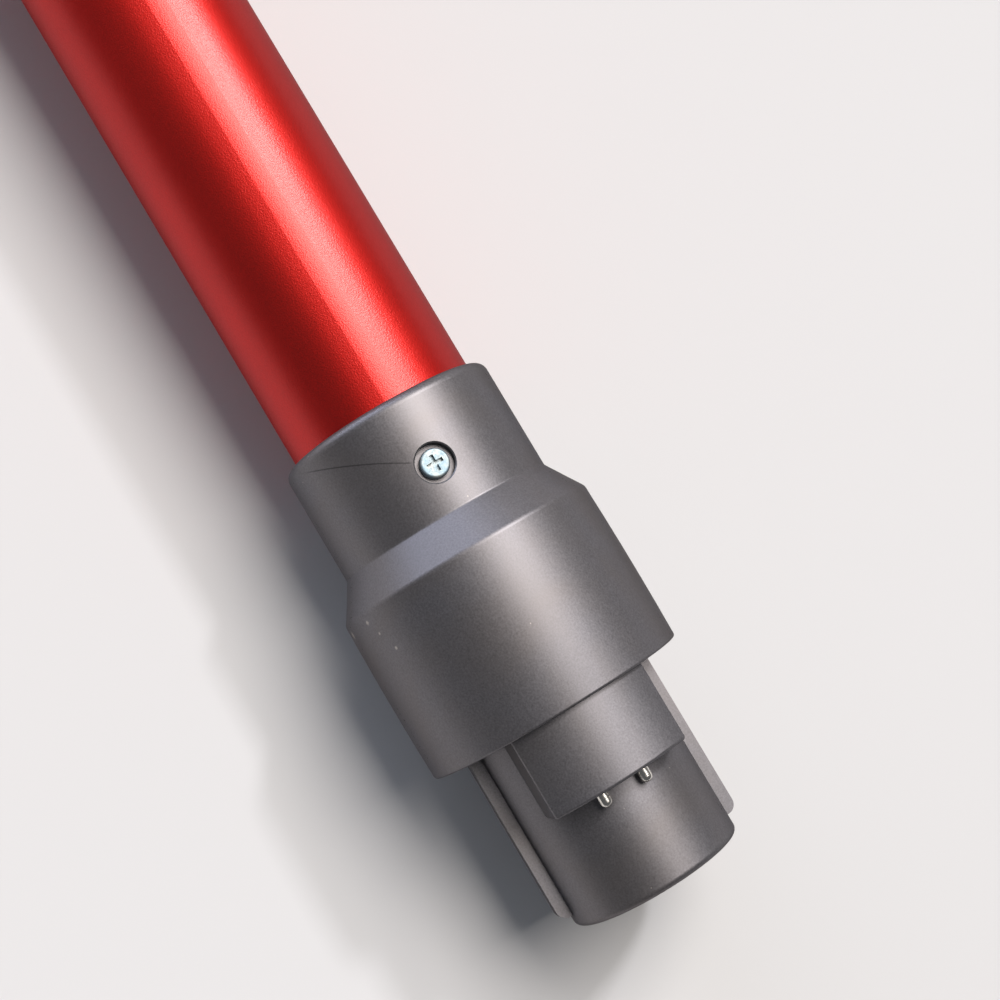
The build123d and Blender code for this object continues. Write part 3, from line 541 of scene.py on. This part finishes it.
# Blue-passivated zinc on steel: a bright, slightly blue-white metal with faint straw patches.
zinc, tree, output = new_material("zinc_plated_steel")
place = add_node(tree, "ShaderNodeTexCoord").outputs["Object"]
patches = add_node(
    tree, "ShaderNodeTexNoise",
    inputs={"Scale": 1 / (PASSIVATION_MM * MM), "Detail": 3.0},
    links={"Vector": place},
)
crystals = add_node(
    tree, "ShaderNodeTexNoise",
    inputs={"Scale": 1 / (PLATE_MM * MM), "Detail": 3.0},
    links={"Vector": place},
)
patch_share = add_node(
    tree, "ShaderNodeMapRange",
    inputs={"From Min": 0.4, "From Max": 0.65, "To Min": 0.0, "To Max": 1.0},
    links={"Value": patches.outputs["Fac"]},
)
tone = add_node(
    tree, "ShaderNodeMix",
    settings={"data_type": "RGBA"},
    inputs={"A": paint("#9cb2bd"), "B": paint("#b9bfbd")},
    links={"Factor": patch_share.outputs["Result"]},
)
crystal_rough = add_node(
    tree, "ShaderNodeMapRange",
    inputs={"From Min": 0.3, "From Max": 0.7, "To Min": 0.48, "To Max": 0.66},
    links={"Value": crystals.outputs["Fac"]},
)
crystal_bump = add_node(
    tree, "ShaderNodeBump",
    inputs={"Strength": 0.5, "Distance": PLATE_DEPTH_MM * MM},
    links={"Height": crystals.outputs["Fac"]},
)
surface = add_node(
    tree, "ShaderNodeBsdfPrincipled",
    inputs={"Metallic": 1.0},
    links={
        "Base Color": tone.outputs["Result"],
        "Roughness": crystal_rough.outputs["Result"],
        "Normal": crystal_bump.outputs["Normal"],
    },
)
tree.links.new(surface.outputs["BSDF"], output.inputs["Surface"])
dress(zinc, "upper_screw", "lower_screw")

# Button pin and spring. The pin is ground steel rod, the spring is coiled from drawn spring
# wire. Neither is plated.
DRAWING_MM = 0.10  # lines left by the die

# Drawn steel: a grey metal, lightly oiled, with fine lines and a darker film in places.
drawn_steel, tree, output = new_material("drawn_steel")
place = add_node(tree, "ShaderNodeTexCoord").outputs["Object"]
die_lines = add_node(
    tree, "ShaderNodeTexNoise",
    inputs={"Scale": 1 / (DRAWING_MM * MM), "Detail": 2.0},
    links={"Vector": place},
)
tone = add_node(
    tree, "ShaderNodeMix",
    settings={"data_type": "RGBA"},
    inputs={"A": paint("#a8a8a9"), "B": paint("#8a8988")},
    links={"Factor": die_lines.outputs["Fac"]},
)
die_rough = add_node(
    tree, "ShaderNodeMapRange",
    inputs={"From Min": 0.3, "From Max": 0.7, "To Min": 0.24, "To Max": 0.36},
    links={"Value": die_lines.outputs["Fac"]},
)
surface = add_node(
    tree, "ShaderNodeBsdfPrincipled",
    inputs={"Metallic": 1.0},
    links={"Base Color": tone.outputs["Result"], "Roughness": die_rough.outputs["Result"]},
)
tree.links.new(surface.outputs["BSDF"], output.inputs["Surface"])
dress(drawn_steel, "button_pin", "button_spring")

# The coil is a copy of the CAD spring, welded at its corners and shaded smooth, and it takes
# the CAD spring's place.
WELD_MM = 0.001  # corners this close are one
SMOOTH_ANGLE = math.radians(40)  # edges flatter than this are shaded smooth
coil = nodes["button_spring"].copy()
coil.data = nodes["button_spring"].data.copy()
coil.name = "pressed_coil"
coil.parent = None
scene.collection.objects.link(coil)
coil.matrix_world = Matrix.Identity(4)
bpy.ops.object.select_all(action="DESELECT")
coil.select_set(True)
bpy.context.view_layer.objects.active = coil
bpy.ops.object.mode_set(mode="EDIT")
bpy.ops.mesh.select_all(action="SELECT")
bpy.ops.mesh.remove_doubles(threshold=WELD_MM * MM)
bpy.ops.object.mode_set(mode="OBJECT")
bpy.ops.object.shade_smooth_by_angle(angle=SMOOTH_ANGLE)
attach(coil, "wand")
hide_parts("button_spring")
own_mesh(coil)

# Cable duct. Extruded channel in natural polypropylene, clipped along the inside of the tube
# over the two wires.
EXTRUSION_MM = 0.6  # lines along the extrusion
EXTRUSION_RATIO = 0.02  # their width over their length

# Natural polypropylene: milky white, slightly waxy, with long faint lines.
natural_pp, tree, output = new_material("natural_polypropylene")
place = add_node(tree, "ShaderNodeTexCoord").outputs["Object"]
along = add_node(
    tree, "ShaderNodeMapping",
    inputs={"Scale": (EXTRUSION_RATIO, 1.0, 1.0)},
    links={"Vector": place},
)
die_lines = add_node(
    tree, "ShaderNodeTexNoise",
    inputs={"Scale": 1 / (EXTRUSION_MM * MM), "Detail": 2.0},
    links={"Vector": along.outputs["Vector"]},
)
tone = add_node(
    tree, "ShaderNodeMix",
    settings={"data_type": "RGBA"},
    inputs={"A": paint("#dcdbd6"), "B": paint("#cfcec8")},
    links={"Factor": die_lines.outputs["Fac"]},
)
die_rough = add_node(
    tree, "ShaderNodeMapRange",
    inputs={"From Min": 0.3, "From Max": 0.7, "To Min": 0.40, "To Max": 0.52},
    links={"Value": die_lines.outputs["Fac"]},
)
surface = add_node(
    tree, "ShaderNodeBsdfPrincipled",
    inputs={"IOR": 1.49},
    links={"Base Color": tone.outputs["Result"], "Roughness": die_rough.outputs["Result"]},
)
tree.links.new(surface.outputs["BSDF"], output.inputs["Surface"])
dress(natural_pp, "cable_duct")

# Wires. Stranded leads in soft PVC, one red and one black, from the pins to the socket contacts.
# Only the insulation shows.
TALC_MM = 1.2  # patches of talc left on the insulation
WIRE_COLOURS = {"wire_left": ("#a01414", "#b04a44"), "wire_right": ("#1b1b1c", "#3a3a3a")}

# PVC insulation: a soft plastic with a dull sheen and traces of talc.
for name, (colour, talc_colour) in WIRE_COLOURS.items():
    pvc, tree, output = new_material(f"pvc_{name}")
    place = add_node(tree, "ShaderNodeTexCoord").outputs["Object"]
    talc = add_node(
        tree, "ShaderNodeTexNoise",
        inputs={"Scale": 1 / (TALC_MM * MM), "Detail": 4.0},
        links={"Vector": place},
    )
    talc_share = add_node(
        tree, "ShaderNodeMapRange",
        inputs={"From Min": 0.5, "From Max": 0.8, "To Min": 0.0, "To Max": 0.8},
        links={"Value": talc.outputs["Fac"]},
    )
    tone = add_node(
        tree, "ShaderNodeMix",
        settings={"data_type": "RGBA"},
        inputs={"A": paint(colour), "B": paint(talc_colour)},
        links={"Factor": talc_share.outputs["Result"]},
    )
    talc_rough = add_node(
        tree, "ShaderNodeMapRange",
        inputs={"From Min": 0.3, "From Max": 0.7, "To Min": 0.45, "To Max": 0.65},
        links={"Value": talc.outputs["Fac"]},
    )
    surface = add_node(
        tree, "ShaderNodeBsdfPrincipled",
        inputs={"IOR": 1.53},
        links={"Base Color": tone.outputs["Result"], "Roughness": talc_rough.outputs["Result"]},
    )
    tree.links.new(surface.outputs["BSDF"], output.inputs["Surface"])
    dress(pvc, name)

# Camera. Above the machine end, looking down on it, rolled so that the tube runs to the upper
# left.
CAMERA_RIGHT = Vector((0.5126, 0.8444, 0.1554))
CAMERA_UP = Vector((-0.8567, 0.4908, 0.1585))
CAMERA_BACK = Vector((0.0577, -0.2144, 0.9750))
CAMERA_PLACE = Vector((0.3071, -0.0577, 0.3411))  # metres
camera_data = bpy.data.cameras.new("camera")
camera_data.sensor_width = 36.0
camera_data.lens = 60.2
camera_data.clip_start = 0.01
camera = bpy.data.objects.new("camera", camera_data)
scene.collection.objects.link(camera)
turn = Matrix((CAMERA_RIGHT, CAMERA_UP, CAMERA_BACK)).transposed()
camera.matrix_world = Matrix.Translation(CAMERA_PLACE) @ turn.to_4x4()
scene.camera = camera

# Lights. A wide panel above and to the right, a harder lamp further right that draws the small
# shadows, and two weak cool windows, one behind and one behind to the left. All stand far off,
# so the floor is lit evenly.
MACHINE_END = Vector((0.28, 0.0, 0.03))  # metres


def soft_lamp(name, direction, distance, length, width, radiance, colour):
    """Area light that faces the machine end from a direction. Distance and sizes are in metres."""
    data = bpy.data.lights.new(name, "AREA")
    data.shape = "RECTANGLE"
    data.size = length
    data.size_y = width
    data.energy = radiance * math.pi * length * width
    data.color = paint(colour)[:3]
    lamp = bpy.data.objects.new(name, data)
    scene.collection.objects.link(lamp)
    back = Vector(direction).normalized()
    side = back.cross(Vector((1.0, 0.0, 0.0))).normalized()
    face = Matrix((side.cross(back), side, back)).transposed().to_4x4()
    lamp.matrix_world = Matrix.Translation(MACHINE_END + back * distance) @ face


soft_lamp("top_panel", (-0.26, 0.38, 0.888), 30.0, 20.0, 15.0, 9.6, "#fff8f2")
soft_lamp("key_lamp", (-0.36, 0.60, 0.72), 30.0, 2.4, 2.4, 170.0, "#fcfbff")
soft_lamp("left_window", (-0.82, -0.50, 0.28), 30.0, 9.0, 9.0, 0.9, "#e6edff")
soft_lamp("back_window", (-0.92, -0.16, 0.26), 50.0, 15.6, 59.4, 4.6, "#dfe8ff")

world = bpy.data.worlds.new("studio")
scene.world = world
world.use_nodes = True
room = world.node_tree.nodes["Background"]
room.inputs["Color"].default_value = paint("#eef1f6")
room.inputs["Strength"].default_value = 0.12

# Floor. Plain pale sheet under the wand, which takes its shadow. It is clear from below, so
# that the underside shows.
FLOOR_SIZE = 24.0  # metres
bpy.ops.object.select_all(action="DESELECT")
bpy.ops.mesh.primitive_plane_add(size=FLOOR_SIZE, location=(0.0, 0.0, 0.0))
floor = bpy.context.object
floor.name = "floor"

# Matt paper: dull and even, without a sheen.
floor_white, tree, output = new_material("floor_white")
sheet = add_node(tree, "ShaderNodeBsdfDiffuse", inputs={"Color": paint("#d8d8d8")})
clear = add_node(tree, "ShaderNodeBsdfTransparent")
side = add_node(tree, "ShaderNodeNewGeometry")
one_side = add_node(
    tree, "ShaderNodeMixShader",
    links={0: side.outputs["Backfacing"], 1: sheet.outputs["BSDF"], 2: clear.outputs["BSDF"]},
)
tree.links.new(one_side.outputs["Shader"], output.inputs["Surface"])
floor.data.materials.append(floor_white)
